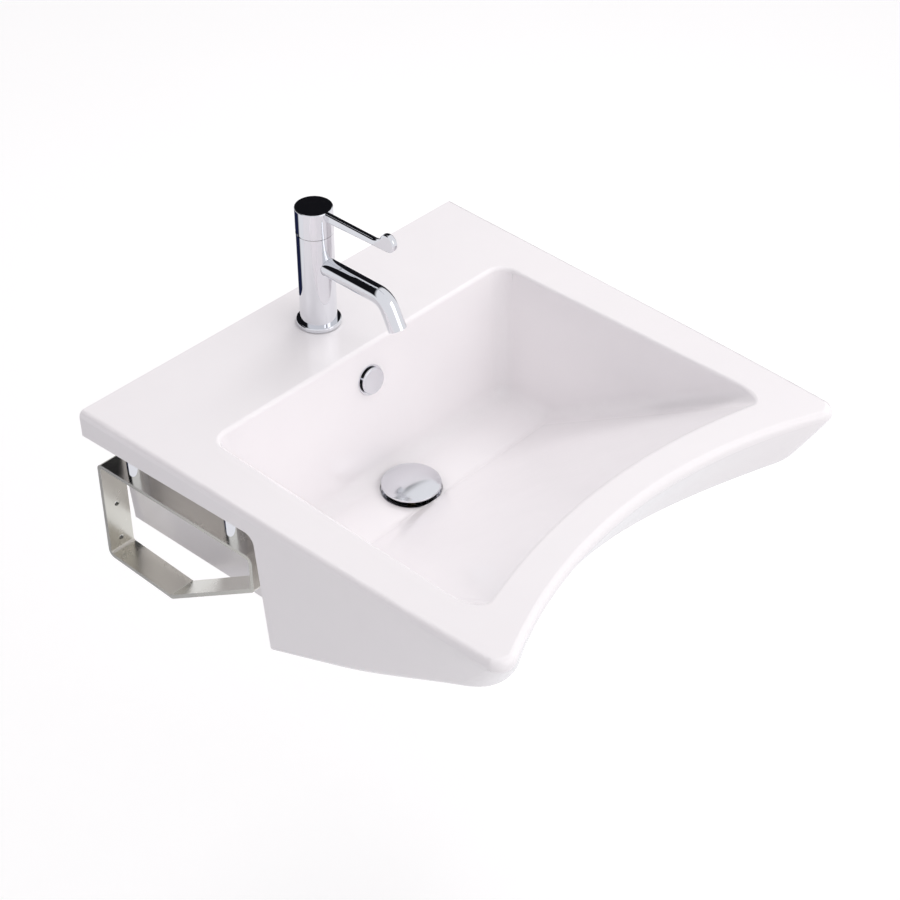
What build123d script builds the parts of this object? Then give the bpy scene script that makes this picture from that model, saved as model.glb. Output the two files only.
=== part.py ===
"""Wall-hung washbasin with a lever tap, a push plug and two looped wall brackets.

The origin is the middle of the four wall fixings, on the wall. +Z is up, the wall is the plane
Y = 0, and the basin reaches out along -Y. Sizes are millimetres. Places are given as a distance
across from the middle, out from the wall, and down or up from the flat top of the rim.
"""
from build123d import *
from OCP.BRepFilletAPI import BRepFilletAPI_MakeFillet
import os
from math import cos, radians, sin, tan

# Height of the rim, and the clearances between pieces
rim_z = 176.0
running_gap = 0.05
fit_gap = 0.15
seat_gap = 0.3

# Outside of the ceramic
back_width = 608.0
front_width = 572.0
horn_out = 625.0
middle_out = 557.0
shoulder_out = 390.0
body_height = 191.0
side_lean = 0.8
horn_side_lean = 22.8
horn_front_lean = 17.7
middle_lean = 30.0
horn_top_radius = 15.0
horn_low_radius = 80.0
belly_out = 283.0
belly_slope = 23.0
belly_crease = 40.0
top_round = 8.0
belly_round = 9.0

# Room beside the body for the brackets
core_half_width = 258.0
core_lean = 4.4
core_taper = 2.0
apron_out = 272.8
apron_slant = 4.8
ledge_thickness = 34.5
ledge_rise = 1.7
pocket_round = 13.0

# Bowl
bowl_back_out = 146.0
bowl_half_width = 236.0
bowl_front_half_width = 238.0
bowl_corner_out = 548.0
bowl_middle_out = 508.0
bowl_depth = 172.0
floor_half_width = 214.0
floor_back_out = 173.0
floor_front_out = 251.0
floor_bow = 0.5
bowl_round = 20.0
lip_round = 5.0

# Hollow under the ledge, and the overflow duct that runs down inside it
hollow_half_width = 232.0
hollow_ceiling = 22.0
hollow_round = 12.0
bowl_wall = 14.0
duct_half_width = 34.0
duct_wall = 8.0
channel_depth = 16.0
channel_top = 28.0
channel_ceiling = 188.0
boss_half_width = 48.0
boss_front_out = 268.0
boss_depth = 212.0
boss_round = 9.0

# Waste fitting
waste_out = 218.0
waste_hole_r = 23.0
waste_recess_depth = 5.0
flange_r = 36.0
recess_margin = 1.5
flange_lip_width = 2.5
flange_thickness = 1.4
flange_lip_below_floor = 0.3
top_gasket_r = 34.0
top_gasket_thickness = 1.2
tail_r = 20.9
tail_wall = 2.1
tail_length = 88.0
tail_slots = 4
tail_slot_width = 13.0
tail_slot_height = 14.0
tail_slot_top = 186.0
outlet_length = 31.0
relief_width = 2.0
relief_depth = 0.8
lower_seal_r = 30.0
lower_seal_thickness = 7.0
slip_washer_thickness = 1.6
backnut_across_flats = 60.0
backnut_thickness = 9.0
cross_ring_r = 11.0
cross_arm_width = 3.0
cross_height = 9.0
cross_top = 203.0
guide_r = 10.0
guide_tail_r = 8.0
guide_top = 188.0
guide_bottom = 214.0

# Push plug, drawn open
cap_r = 36.2
cap_edge = 2.0
cap_rise = 6.5
cap_edge_round = 0.9
plug_travel = 7.0
stem_r = 5.0
stem_length = 44.0
stem_in_cap = 4.0
plug_seal_r = 30.0
plug_seal_width = 6.0
plug_seal_thickness = 1.8

# Overflow fitting
overflow_down = 44.0
overflow_hole_r = 13.0
overflow_ring_r = 19.0
overflow_ring_thickness = 1.8
overflow_sleeve_length = 15.0
overflow_sleeve_wall = 1.6
overflow_cover_r = 16.5
overflow_cover_thickness = 2.4
overflow_cover_gap = 2.6
overflow_posts = 3
overflow_post_r = 1.6
overflow_post_circle = 13.5
overflow_post_seat = 0.9

# Tap body
tap_out = 69.6
tap_hole_r = 17.5
tap_gasket_r = 25.0
tap_gasket_thickness = 1.0
tap_flange_r = 27.0
tap_flange_height = 5.0
tap_flange_bore_r = 17.0
tap_flange_round = 1.6
tap_r = 22.0
tap_top = 125.0
inlet_r = 4.5
inlet_depth = 14.0
inlet_half_spacing = 8.5
inlet_ahead = 1.0
passage_r = 3.2
outlet_ahead = 8.0

# Spout
spout_height = 85.0
spout_r = 11.0
spout_wall = 2.2
spout_root = 10.0
spout_bend_out = 169.0
spout_bend_r = 22.0
spout_bend_angle = 63.0
spout_drop_length = 18.5
spout_spigot_length = 4.0
spout_spigot_cut = 1.0
aerator_length = 6.5
aerator_thickness = 5.0
aerator_holes = 6
aerator_hole_r = 0.9
aerator_hole_circle = 4.6

# Cartridge and lever joint
cartridge_r = 17.4
cartridge_height = 21.0
cartridge_floor = 98.0
cartridge_seal_thickness = 1.5
port_depth = 6.0
neck_r = 12.0
neck_height = 3.5
nut_bore_gap = 0.5
nut_dome = 3.0
nut_dome_narrowing = 3.0
swivel_r = 11.0
swivel_thickness = 2.2
swivel_spigot_r = 6.0
swivel_spigot_length = 8.0
ear_height = 9.0
ear_thickness = 3.2
ear_half_depth = 6.0
pivot_above_disc = 4.6
pivot_pin_r = 2.0
spindle_width = 8.0
spindle_top = 151.0

# Lever
hub_r = 22.3
hub_gap = 0.7
hub_top = 158.5
hub_wall = 3.1
hub_crown = 12.5
hub_boss_r = 9.0
hub_boss_drop = 6.0
hub_round = 1.2
lift_angle = 20.0
arm_thickness = 7.5
arm_height = 11.5
arm_end_rise = 3.5
paddle_out = 188.5
paddle_lift = 3.0
paddle_r = 11.0
paddle_blend = 14.0
lever_round = 2.2
grub_r = 2.5
grub_length = 8.0
grub_height = 149.0

# Fixing under the ledge
stud_r = 4.0
stud_back = 11.0
stud_in_body = 12.0
stud_below = 22.0
horseshoe_r = 27.0
horseshoe_slot = 28.0
horseshoe_slot_end = 4.5
horseshoe_gasket_thickness = 3.0
horseshoe_washer_thickness = 2.0
fixing_nut_across_flats = 13.0
fixing_nut_thickness = 9.0

# Brackets
bracket_middle = 273.0
strip_width = 34.0
strip_thickness = 5.0
bar_top_down = 82.0
bar_rise = 3.0
bracket_out = 261.5
bracket_front_down = 117.5
bracket_bottom_out = 113.0
bracket_depth = 222.0
bracket_round = 9.0
wall_hole_r = 3.5
wall_hole_spacing = 52.0
post_r = 11.5
post_outs = (52.0, 216.0)
pad_thickness = 2.0
spigot_r = 5.0
spigot_length = 14.0
spigot_hole_gap = 1.0
screw_r = 2.9
screw_length = 18.0
screw_head_r = 5.5
screw_head_height = 3.2

# Heights up from the rim, worked out from the sizes above
bowl_floor = -bowl_depth
waste_seat = bowl_floor - waste_recess_depth
flange_base = waste_seat + top_gasket_thickness
cap_base = bowl_floor + plug_travel
tap_base = tap_gasket_thickness + tap_flange_height
cartridge_base = cartridge_floor + cartridge_seal_thickness
cartridge_top = cartridge_base + cartridge_height
swivel_base = cartridge_top + neck_height + seat_gap
disc_top = swivel_base + swivel_thickness
pivot_up = disc_top + pivot_above_disc
ledge_ceiling = -hollow_ceiling
horseshoe_top = ledge_ceiling - horseshoe_gasket_thickness
nut_top = horseshoe_top - horseshoe_washer_thickness

ON_BASE = (Align.CENTER, Align.CENTER, Align.MIN)
wide = 2 * back_width
overlap = 1.0
sliver = 0.01


def spot(across, out, down):
    """A point by its distance across, out from the wall and down from the rim."""
    return Vector(across, -out, rim_z - down)


def put(shape, across, out, up):
    """The shape moved to a place across, out from the wall and up from the rim."""
    return Pos(across, -out, rim_z + up) * shape


def rod(radius, height):
    """An upright cylinder that stands on the origin."""
    return Cylinder(radius, height, align=ON_BASE)


def collar(outer, inner, height):
    """An upright ring that stands on the origin."""
    return rod(outer, height) - rod(inner, height)


def bar(width, depth, height):
    """An upright bar that stands on the origin."""
    return Box(width, depth, height, align=ON_BASE)


def along_y(radius, low_y, high_y):
    """A cylinder along Y between two places on the axis."""
    return Pos(0, high_y, 0) * Rot(90, 0, 0) * rod(radius, high_y - low_y)


def hexagon(across_flats, height):
    """A six-sided prism that stands on the origin."""
    profile = RegularPolygon(across_flats / 2, 6, major_radius=False)
    return extrude(profile, amount=height)


def side_prism(points, low_x, high_x, round_index=None, radius=0.0):
    """A prism across X on a side profile of (out, down) points, with one corner rounded."""
    corners = [Vector(-out, rim_z - down) for out, down in points]
    face = make_face(Plane.YZ * Polyline(*corners, close=True))
    if round_index is not None:
        target = spot(0, *points[round_index])
        face = fillet(face.vertices().sort_by_distance(target)[0], radius)
    return Pos(low_x, 0, 0) * extrude(face, amount=high_x - low_x, dir=(1, 0, 0))


def both_sides(shape):
    """The shape and its mirror image across the middle plane."""
    return [shape, mirror(shape, about=Plane.YZ)]


def near(edges, point):
    """The edge that lies closest to a point."""
    return edges.sort_by(lambda edge: (edge.center() - point).length)[0]


def half_width_at(out):
    """Half the width of the rim at a distance from the wall."""
    return back_width / 2 - (back_width - front_width) / 2 * out / horn_out


def belly_down(out):
    """How far the sloping belly lies below the rim at a distance from the wall."""
    return body_height - (out - belly_out) * tan(radians(belly_slope))


def ledge_under(out):
    """How far the underside of the rear ledge lies below the rim."""
    return ledge_thickness - out * tan(radians(ledge_rise))


def bar_down(out):
    """How far the top face of a bracket's upper bar lies below the rim."""
    return bar_top_down - out * tan(radians(bar_rise))


def bowl_back_at(down):
    """How far out from the wall the sloping back of the bowl lies, by its depth."""
    return bowl_back_out + (floor_back_out - bowl_back_out) * down / bowl_depth


def outer_block():
    """The outside of the ceramic before it is cut: a ruled loft that starts inside the wall."""
    back = spot(half_width_at(-overlap), -overlap, 0)
    shoulder = spot(half_width_at(shoulder_out), shoulder_out, 0)
    horn = spot(front_width / 2, horn_out, 0)
    inward = Vector(-body_height * tan(radians(side_lean)), 0, -body_height)
    low_half = front_width / 2 - body_height * tan(radians(horn_side_lean))
    low_out = horn_out - body_height * tan(radians(horn_front_lean))
    low_middle_out = middle_out - body_height * tan(radians(middle_lean))
    low_horn = spot(low_half, low_out, body_height)
    low_back = back + inward
    low_shoulder = shoulder + inward
    upper_right = [Edge.make_line(back, shoulder), Edge.make_line(shoulder, horn)]
    curved = Edge.make_tangent_arc(low_shoulder, low_shoulder - low_back, low_horn)
    lower_right = [Edge.make_line(low_back, low_shoulder), curved]
    wires = []
    for sides, corner, start, middle in (
        (upper_right, horn, back, spot(0, middle_out, 0)),
        (lower_right, low_horn, low_back, spot(0, low_middle_out, body_height)),
    ):
        far_corner = Vector(-corner.X, corner.Y, corner.Z)
        far_start = Vector(-start.X, start.Y, start.Z)
        front = Edge.make_three_point_arc(corner, middle, far_corner)
        left = [edge.mirror(Plane.YZ) for edge in reversed(sides)]
        wires.append(Wire(sides + [front] + left + [Edge.make_line(far_start, start)]))
    block = Solid.make_loft([wires[1], wires[0]], ruled=True)
    rounding = BRepFilletAPI_MakeFillet(block.wrapped)
    for middle in ((horn + low_horn) * 0.5, mirrored((horn + low_horn) * 0.5)):
        corner = near(block.edges(), middle)
        radii = (horn_low_radius, horn_top_radius)
        if (corner @ 0).Z > middle.Z:
            radii = radii[::-1]
        rounding.Add(*radii, corner.wrapped)
    return Compound(rounding.Shape()).solids()[0]


def mirrored(point):
    """The point on the other side of the middle plane."""
    return Vector(-point.X, point.Y, point.Z)


def pocket_cutter():
    """The room beside the body where the right bracket sits, with a rounded front top corner."""
    low_out = apron_out + (boss_depth - ledge_under(apron_out)) * tan(radians(apron_slant))
    points = [
        (-overlap, ledge_under(-overlap)),
        (apron_out, ledge_under(apron_out)),
        (low_out, boss_depth),
        (-overlap, boss_depth),
    ]
    room = side_prism(points, core_half_width - ledge_thickness, wide / 2, 1, pocket_round)
    forward = Vector(-tan(radians(core_taper)), -1, 0)
    downward = Vector(-tan(radians(core_lean)), 0, -1)
    side = Plane(
        origin=spot(core_half_width, 0, ledge_thickness),
        x_dir=forward,
        z_dir=forward.cross(downward),
    )
    return room & side.location * bar(wide, wide, wide)


def bowl_cutter():
    """The bowl: a ruled loft from its flat floor to the rim, whose front side is a ramp."""
    rings = []
    for level, half, back, front_half, corner, middle in (
        (
            bowl_depth, floor_half_width, floor_back_out,
            floor_half_width, floor_front_out, floor_front_out + floor_bow,
        ),
        (
            0.0, bowl_half_width, bowl_back_out,
            bowl_front_half_width, bowl_corner_out, bowl_middle_out,
        ),
    ):
        corners = [
            spot(-half, back, level),
            spot(half, back, level),
            spot(front_half, corner, level),
            spot(-front_half, corner, level),
        ]
        front = Edge.make_three_point_arc(corners[2], spot(0, middle, level), corners[3])
        sides = [Edge.make_line(corners[0], corners[1]), Edge.make_line(corners[1], corners[2])]
        rings.append(Wire(sides + [front, Edge.make_line(corners[3], corners[0])]))
    bowl = Solid.make_loft(rings, ruled=True)
    inner = [edge for edge in bowl.edges() if edge.center().Z < rim_z - overlap]
    return fillet(inner, bowl_round)


def hollow_cutter():
    """The hollow under the ledge, open to the wall and below, around the overflow duct."""
    deep = boss_depth + overlap
    points = [
        (-overlap, hollow_ceiling),
        (bowl_back_at(hollow_ceiling) - bowl_wall, hollow_ceiling),
        (bowl_back_at(deep) - bowl_wall, deep),
        (-overlap, deep),
    ]
    hollow = side_prism(points, -hollow_half_width, hollow_half_width, 1, hollow_round)
    thick = bowl_wall + channel_depth + duct_wall
    points = [
        (bowl_back_at(0) - thick, 0.0),
        (bowl_back_at(0), 0.0),
        (bowl_back_at(deep), deep),
        (bowl_back_at(deep) - thick, deep),
    ]
    return hollow - side_prism(points, -duct_half_width, duct_half_width)


def channel_cutter():
    """The overflow channel: down behind the bowl, then forward to the waste hole."""
    far = bowl_wall + channel_depth
    low = channel_ceiling + channel_depth
    points = [
        (bowl_back_at(channel_top) - far, channel_top),
        (bowl_back_at(channel_top) - bowl_wall, channel_top),
        (bowl_back_at(channel_ceiling) - bowl_wall, channel_ceiling),
        (waste_out, channel_ceiling),
        (waste_out, low),
        (bowl_back_at(low) - far, low),
    ]
    half = duct_half_width - duct_wall
    return side_prism(points, -half, half)


def overflow_place():
    """The place of the overflow on the back of the bowl, with its axis into the bowl."""
    slope = (floor_back_out - bowl_back_out) / bowl_depth
    origin = spot(0, bowl_back_at(overflow_down), overflow_down)
    return Plane(origin=origin, x_dir=(1, 0, 0), z_dir=(0, -1, slope)).location


def square_to(rise, out, down):
    """A place over the right bracket, with its axis square to a face that rises to the front."""
    lean = radians(rise)
    origin = spot(bracket_middle, out, down)
    return Plane(origin=origin, x_dir=(1, 0, 0), z_dir=(0, sin(lean), cos(lean))).location


def ledge_place(out):
    """A place on the underside of the ledge over the right bracket."""
    return square_to(ledge_rise, out, ledge_under(out))


def bar_place(out):
    """A place on the top face of the right bracket's upper bar."""
    return square_to(bar_rise, out, bar_down(out))


def make_ceramic():
    """The whole basin casting, with every hole and seat in it."""
    block = outer_block()
    far = 2 * horn_out
    profile = [
        (0.0, body_height),
        (belly_out, body_height),
        (far, belly_down(far)),
        (far, belly_down(far) - body_height),
        (0.0, belly_down(far) - body_height),
    ]
    body = block & side_prism(profile, -wide / 2, wide / 2, 1, belly_crease)
    rim = [edge for edge in body.edges() if edge.bounding_box().min.Z > rim_z - overlap]
    rim = [edge for edge in rim if edge.center().Y < -overlap]
    body = fillet(rim, top_round)
    body = fillet(belly_edges(body), belly_round)
    for cutter in both_sides(pocket_cutter()):
        body = body - cutter
    body = body - bowl_cutter()
    lip = [edge for edge in body.edges() if is_lip(edge)]
    body = fillet(lip, lip_round)
    body = body - hollow_cutter()
    back = bowl_back_at(body_height) - bowl_wall - channel_depth - duct_wall
    boss = bar(2 * boss_half_width, boss_front_out - back, boss_depth - body_height + overlap)
    uprights = boss.edges().filter_by(Axis.Z)
    boss = fillet(uprights, boss_round)
    body = body + put(boss, 0, (back + boss_front_out) / 2, -boss_depth)
    body = body - channel_cutter()
    body = body - overflow_place() * Pos(0, 0, -bowl_wall - duct_wall) * rod(
        overflow_hole_r, 2 * bowl_wall
    )
    body = body - put(rod(waste_hole_r, boss_depth), 0, waste_out, -boss_depth - overlap)
    recess = rod(flange_r + recess_margin, 2 * waste_recess_depth)
    body = body - put(recess, 0, waste_out, waste_seat)
    body = body - put(rod(tap_hole_r, 2 * hollow_ceiling), 0, tap_out, -1.5 * hollow_ceiling)
    blind = Pos(0, 0, -overlap) * rod(
        spigot_r + spigot_hole_gap, spigot_length + spigot_hole_gap + overlap
    )
    for out in post_outs:
        for cutter in both_sides(ledge_place(out) * blind):
            body = body - cutter
    return body


def belly_edges(body):
    """The edges between the belly and the sides and front of the casting."""
    chosen = []
    for edge in body.edges():
        middle = edge @ 0.5
        on_belly = abs(rim_z - middle.Z - belly_down(-middle.Y)) < overlap
        on_bottom = abs(rim_z - middle.Z - body_height) < 2 * overlap and middle.Y > -belly_out
        across = abs(edge.tangent_at(0.5).X) > 0.99 and -middle.Y < shoulder_out
        if (on_belly or on_bottom) and not across:
            chosen.append(edge)
    return chosen


def is_lip(edge):
    """Whether an edge is where the bowl meets the flat rim."""
    box = edge.bounding_box()
    if box.min.Z < rim_z - sliver:
        return False
    middle = edge @ 0.5
    return abs(middle.X) < bowl_front_half_width + overlap and middle.Y < -bowl_back_out + overlap


def make_overflow():
    """The overflow sleeve with its ring, and the proud round cover on its posts."""
    place = overflow_place()
    outer = overflow_hole_r - seat_gap
    sleeve = collar(outer, outer - overflow_sleeve_wall, overflow_sleeve_length + overlap)
    sleeve = Pos(0, 0, -overflow_sleeve_length) * sleeve
    sleeve = sleeve + collar(overflow_ring_r, outer - overflow_sleeve_wall, overflow_ring_thickness)
    cover_base = overflow_ring_thickness + overflow_cover_gap
    cover = rod(overflow_cover_r, overflow_cover_thickness)
    cover = Pos(0, 0, cover_base) * fillet(cover.edges().sort_by(Axis.Z)[-1], lever_round / 2)
    post_base = overflow_ring_thickness - overflow_post_seat
    for spot_in_circle in PolarLocations(overflow_post_circle, overflow_posts, 30):
        seat = spot_in_circle * Pos(0, 0, post_base) * rod(overflow_post_r + running_gap, overlap)
        sleeve = sleeve - seat
        post = rod(overflow_post_r, cover_base - post_base + overlap)
        cover = cover + spot_in_circle * Pos(0, 0, post_base) * post
    return place * sleeve, place * cover


def make_waste():
    """The waste: flanged tail with slots and a cross, seals, washer, nut and plug guide."""
    bore = tail_r - tail_wall
    body = collar(tail_r, bore, tail_length + flange_thickness)
    body = Pos(0, 0, -tail_length) * body
    body = body + collar(flange_r, bore, flange_thickness)
    lip_height = bowl_floor - flange_lip_below_floor - flange_base
    body = body + collar(flange_r, flange_r - flange_lip_width, lip_height)
    slot = Box(tail_slot_width, 3 * tail_r, tail_slot_height)
    slot_middle = -tail_slot_top - tail_slot_height / 2 - flange_base
    for index in range(tail_slots // 2):
        body = body - Pos(0, 0, slot_middle) * Rot(0, 0, 180 / tail_slots * 2 * index) * slot
    arm = Box(2 * bore + tail_wall, cross_arm_width, cross_height)
    cross = Rot(0, 0, 45) * arm + Rot(0, 0, 135) * arm
    cross = cross + Cylinder(cross_ring_r, cross_height)
    cross = cross - Cylinder(guide_tail_r + running_gap, 2 * cross_height)
    body = body + Pos(0, 0, -cross_top - cross_height / 2 - flange_base) * cross
    relief = collar(2 * tail_r, tail_r - relief_depth, relief_width)
    body = body - Pos(0, 0, outlet_length - tail_length) * relief
    body = put(body, 0, waste_out, flange_base)
    tail_bore = tail_r + seat_gap
    gasket = put(collar(top_gasket_r, tail_bore, top_gasket_thickness), 0, waste_out, waste_seat)
    seal_base = -boss_depth - lower_seal_thickness
    seal = collar(lower_seal_r, tail_bore, lower_seal_thickness)
    seal = put(seal, 0, waste_out, seal_base)
    washer_base = seal_base - slip_washer_thickness
    washer = put(collar(lower_seal_r, tail_bore, slip_washer_thickness), 0, waste_out, washer_base)
    nut = hexagon(backnut_across_flats, backnut_thickness)
    nut = nut - Pos(0, 0, -overlap) * rod(tail_r + fit_gap, 2 * backnut_thickness)
    nut = put(nut, 0, waste_out, washer_base - backnut_thickness)
    guide = rod(guide_r, cross_top - guide_top)
    low = rod(guide_tail_r, guide_bottom - cross_top + overlap)
    guide = guide + Pos(0, 0, cross_top - guide_bottom) * low
    guide = guide - Pos(0, 0, cross_top - guide_bottom - overlap) * rod(
        stem_r + running_gap, 2 * (guide_bottom - guide_top)
    )
    guide = put(guide, 0, waste_out, -cross_top)
    return body, gasket, seal, washer, nut, guide


def make_plug():
    """The push plug, drawn open: its domed cap, its stem and its seal ring."""
    corner = Vector(cap_r, 0, cap_edge)
    crown = Vector(0, 0, cap_edge + cap_rise)
    dome = Edge.make_tangent_arc(crown, Vector(1, 0, 0), corner)
    sides = [Edge.make_line((0, 0, 0), (cap_r, 0, 0)), Edge.make_line((cap_r, 0, 0), corner)]
    section = make_face(Wire(sides + [dome, Edge.make_line(crown, (0, 0, 0))]))
    section = fillet(section.vertices().sort_by_distance(corner)[0], cap_edge_round)
    cap = revolve(section, Axis.Z)
    cap = cap - Pos(0, 0, -overlap) * rod(stem_r + fit_gap, stem_in_cap + overlap)
    stem = Pos(0, 0, stem_in_cap - stem_length) * rod(stem_r, stem_length)
    ring = collar(plug_seal_r, plug_seal_r - plug_seal_width, plug_seal_thickness)
    ring = Pos(0, 0, -plug_seal_thickness) * ring
    return [put(piece, 0, waste_out, cap_base) for piece in (cap, stem, ring)]


def make_tap_base():
    """The gasket and the round flange that the tap stands on."""
    gasket = collar(tap_gasket_r, tap_hole_r + overlap, tap_gasket_thickness)
    flange = rod(tap_flange_r, tap_flange_height)
    flange = fillet(flange.edges().sort_by(Axis.Z)[-1], tap_flange_round)
    flange = flange - Pos(0, 0, -overlap) * rod(tap_flange_bore_r, 2 * tap_flange_height)
    return put(gasket, 0, tap_out, 0), put(flange, 0, tap_out, tap_gasket_thickness)


def make_tap_body():
    """The tap body: cartridge chamber, spout socket, inlets, stud hole and the ways between."""
    body = rod(tap_r, tap_top - tap_base)
    body = Pos(0, 0, tap_base) * body
    body = body - Pos(0, 0, cartridge_floor) * rod(cartridge_r + fit_gap, tap_top)
    socket_y = -(tap_r - spout_root)
    body = body - Pos(0, 0, spout_height) * along_y(spout_r + fit_gap, -2 * tap_r, socket_y)
    for side in (-1, 1):
        place = Pos(side * inlet_half_spacing, -inlet_ahead, 0)
        body = body - place * rod(inlet_r, tap_base + inlet_depth)
        body = body - place * rod(passage_r, cartridge_floor + overlap)
    way = rod(passage_r, cartridge_floor - spout_height + overlap)
    body = body - Pos(0, -outlet_ahead, spout_height) * way
    body = body - Pos(0, 0, spout_height) * along_y(passage_r, -tap_r, passage_r - outlet_ahead)
    body = body - Pos(0, stud_back, 0) * rod(stud_r + fit_gap, tap_base + stud_in_body)
    return put(body, 0, tap_out, 0)


def make_spout():
    """The bent spout tube, the sprayer housing on its end and the sprayer insert."""
    start = spot(0, tap_out + tap_r - spout_root, -spout_height)
    bend = spot(0, spout_bend_out, -spout_height)
    turn = radians(spout_bend_angle)
    bend_end = bend + Vector(0, -spout_bend_r * sin(turn), spout_bend_r * (cos(turn) - 1))
    down = Vector(0, -cos(turn), -sin(turn))
    tip = bend_end + down * spout_drop_length
    straight = Edge.make_line(start, bend)
    curve = Edge.make_tangent_arc(bend, bend - start, bend_end)
    path = Wire([straight, curve, Edge.make_line(bend_end, tip)])
    section = Plane(origin=start, x_dir=(1, 0, 0), z_dir=(0, -1, 0))
    tube = sweep(section * Circle(spout_r), path=path)
    tube = tube - sweep(section * Circle(spout_r - spout_wall), path=path)
    end = Plane(origin=tip, x_dir=(1, 0, 0), z_dir=(down.X, down.Y, down.Z)).location
    step_cut = spout_r - spout_spigot_cut
    tube = tube - end * Pos(0, 0, -spout_spigot_length) * collar(2 * spout_r, step_cut, spout_spigot_length)
    housing = collar(spout_r, step_cut + fit_gap, spout_spigot_length)
    housing = Pos(0, 0, -spout_spigot_length) * housing
    bore = spout_r - spout_wall
    housing = housing + rod(spout_r, aerator_length) - Pos(0, 0, overlap) * rod(bore, aerator_length)
    housing = housing - Pos(0, 0, -overlap) * rod(bore - overlap, 3 * overlap)
    insert = rod(bore - fit_gap, aerator_thickness)
    insert = Pos(0, 0, overlap) * insert
    for place in PolarLocations(aerator_hole_circle, aerator_holes):
        insert = insert - place * rod(aerator_hole_r, 2 * aerator_length)
    return tube, end * housing, end * insert


def make_cartridge():
    """The cartridge with its ports, the seal under it and the domed nut that holds it."""
    ports = [Pos(side * inlet_half_spacing, -inlet_ahead, 0) for side in (-1, 1)]
    ports.append(Pos(0, -outlet_ahead, 0))
    seal = rod(cartridge_r - fit_gap, cartridge_seal_thickness)
    body = rod(cartridge_r, cartridge_height)
    body = body + Pos(0, 0, cartridge_height) * rod(neck_r, neck_height)
    for place in ports:
        seal = seal - place * Pos(0, 0, -overlap) * rod(passage_r, 2 * overlap + cartridge_seal_thickness)
        body = body - place * Pos(0, 0, -overlap) * rod(passage_r, port_depth + overlap)
    well_depth = swivel_spigot_length
    well = rod(swivel_spigot_r + running_gap, well_depth + overlap)
    body = body - Pos(0, 0, cartridge_height + neck_height - well_depth) * well
    thread = tap_top - cartridge_top
    nut = rod(cartridge_r, thread)
    dome = Cone(cartridge_r, cartridge_r - nut_dome_narrowing, nut_dome, align=ON_BASE)
    nut = nut + Pos(0, 0, thread) * dome
    nut = nut - Pos(0, 0, -overlap) * rod(neck_r + nut_bore_gap, 2 * tap_r)
    return (
        put(seal, 0, tap_out, cartridge_floor),
        put(body, 0, tap_out, cartridge_base),
        put(nut, 0, tap_out, cartridge_top),
    )


def make_swivel():
    """The swivel with its two ears, the pin across them and the square spindle."""
    disc = rod(swivel_r, swivel_thickness)
    disc = disc + Pos(0, 0, seat_gap - swivel_spigot_length) * rod(swivel_spigot_r, swivel_spigot_length)
    slot_half = spindle_width / 2 + fit_gap
    for side in (-1, 1):
        ear = bar(ear_thickness, 2 * ear_half_depth, ear_height + overlap)
        ear = fillet(ear.edges().filter_by(Axis.X).group_by(Axis.Z)[-1], pivot_above_disc / 2)
        middle = side * (slot_half + ear_thickness / 2)
        disc = disc + Pos(middle, 0, swivel_thickness - overlap) * ear
    pin_up = swivel_thickness + pivot_above_disc
    across = Rot(0, 90, 0) * Cylinder(pivot_pin_r + running_gap, 2 * swivel_r)
    disc = disc - Pos(0, 0, pin_up) * across
    pin = Rot(0, 90, 0) * Cylinder(pivot_pin_r, 2 * (slot_half + ear_thickness))
    height = spindle_top - pivot_up
    spindle = bar(spindle_width, spindle_width, height)
    spindle = spindle + Rot(0, 90, 0) * Cylinder(spindle_width / 2, spindle_width)
    spindle = spindle - Rot(0, 90, 0) * Cylinder(pivot_pin_r + running_gap, 2 * spindle_width)
    return (
        put(disc, 0, tap_out, swivel_base),
        put(pin, 0, tap_out, pivot_up),
        put(spindle, 0, tap_out, pivot_up),
    )


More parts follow.
